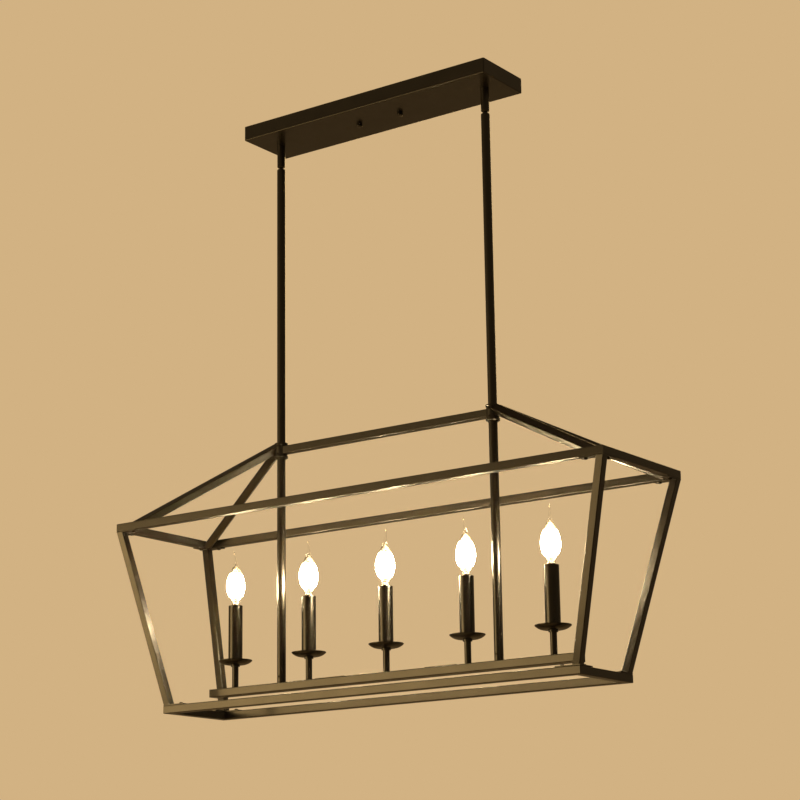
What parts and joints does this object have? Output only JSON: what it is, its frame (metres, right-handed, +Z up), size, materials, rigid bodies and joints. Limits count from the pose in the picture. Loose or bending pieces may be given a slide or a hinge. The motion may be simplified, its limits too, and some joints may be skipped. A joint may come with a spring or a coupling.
{
  "type": "linear island pendant",
  "caption": "Linear island pendant: an open tapered cage of square tube with candle lamps on a light bar, hung by stems from a long ceiling canopy.",
  "frame": {"origin": "centre of the canopy's rim and of the mounting bracket's top face, where they meet the ceiling", "axes": "+Z up, against the ceiling; +X along the length; +Y to the back"},
  "size_m": [0.9144, 0.224, 0.9624],
  "materials": {
    "bronze_paint": "satin dark bronze powder coat",
    "zinc_steel": "zinc-plated",
    "green_screw": "green dyed zinc",
    "wire_insulation": "smooth insulation",
    "connector_plastic": "moulded, ribbed",
    "socket_phenolic": "moulded phenolic",
    "socket_brass": "rolled thread",
    "lamp_base_nickel": "nickel-plated rolled thread",
    "clear_glass": "clear blown glass"
  },
  "bodies": {
    "canopy_group": {"canopy": "bronze_paint", "mounting_bracket": "zinc_steel", "canopy_studs": "zinc_steel", "stud_nuts": "zinc_steel", "canopy_cap_nuts": "bronze_paint", "ground_screw": "green_screw", "swivel_nipples": "zinc_steel", "swivel_locknuts": "zinc_steel", "lead_wires": "wire_insulation", "wire_connectors": "connector_plastic", "swivel_housing_left": "bronze_paint", "swivel_housing_right": "bronze_paint"},
    "cage_group": {"swivel_ball_left": "bronze_paint", "upper_stem_left": "bronze_paint", "hub_left": "bronze_paint", "lower_stem_left": "bronze_paint", "swivel_ball_right": "bronze_paint", "upper_stem_right": "bronze_paint", "hub_right": "bronze_paint", "lower_stem_right": "bronze_paint", "set_screws": "bronze_paint", "stem_nipples": "zinc_steel", "ridge_bar": "bronze_paint", "hip_bar_front_left": "bronze_paint", "hip_bar_front_right": "bronze_paint", "hip_bar_back_left": "bronze_paint", "hip_bar_back_right": "bronze_paint", "leg_front_left": "bronze_paint", "leg_front_right": "bronze_paint", "leg_back_left": "bronze_paint", "leg_back_right": "bronze_paint", "top_rail_front": "bronze_paint", "top_rail_back": "bronze_paint", "top_rail_left": "bronze_paint", "top_rail_right": "bronze_paint", "bottom_rail_front": "bronze_paint", "bottom_rail_back": "bronze_paint", "bottom_rail_left": "bronze_paint", "bottom_rail_right": "bronze_paint", "leg_screws": "bronze_paint", "light_bar": "bronze_paint", "access_covers": "bronze_paint", "bar_end_caps": "bronze_paint", "bar_locknuts": "zinc_steel", "candle_tubes": "bronze_paint", "drip_dishes": "bronze_paint", "lamp_sockets": "socket_phenolic", "socket_shells": "socket_brass", "candle_sleeves": "bronze_paint", "fixture_wires": "wire_insulation"},
    "lamp_1": {"lamp_base_1": "lamp_base_nickel", "lamp_bulb_1": "clear_glass"},
    "lamp_2": {"lamp_base_2": "lamp_base_nickel", "lamp_bulb_2": "clear_glass"},
    "lamp_3": {"lamp_base_3": "lamp_base_nickel", "lamp_bulb_3": "clear_glass"},
    "lamp_4": {"lamp_base_4": "lamp_base_nickel", "lamp_bulb_4": "clear_glass"},
    "lamp_5": {"lamp_base_5": "lamp_base_nickel", "lamp_bulb_5": "clear_glass"}
  },
  "joints": [
    {"name": "cage_swing", "type": "hinge", "parent": "canopy_group", "child": "cage_group", "pos_m": [0, 0, -0.061], "axis": [1, 0, 0], "range_deg": [-20, 20]},
    {"name": "lamp_1_unscrew", "type": "slide", "parent": "cage_group", "child": "lamp_1", "axis": [0, 0, 1], "range_m": [0, 0.024]},
    {"name": "lamp_2_unscrew", "type": "slide", "parent": "cage_group", "child": "lamp_2", "axis": [0, 0, 1], "range_m": [0, 0.024]},
    {"name": "lamp_3_unscrew", "type": "slide", "parent": "cage_group", "child": "lamp_3", "axis": [0, 0, 1], "range_m": [0, 0.024]},
    {"name": "lamp_4_unscrew", "type": "slide", "parent": "cage_group", "child": "lamp_4", "axis": [0, 0, 1], "range_m": [0, 0.024]},
    {"name": "lamp_5_unscrew", "type": "slide", "parent": "cage_group", "child": "lamp_5", "axis": [0, 0, 1], "range_m": [0, 0.024]}
  ]
}
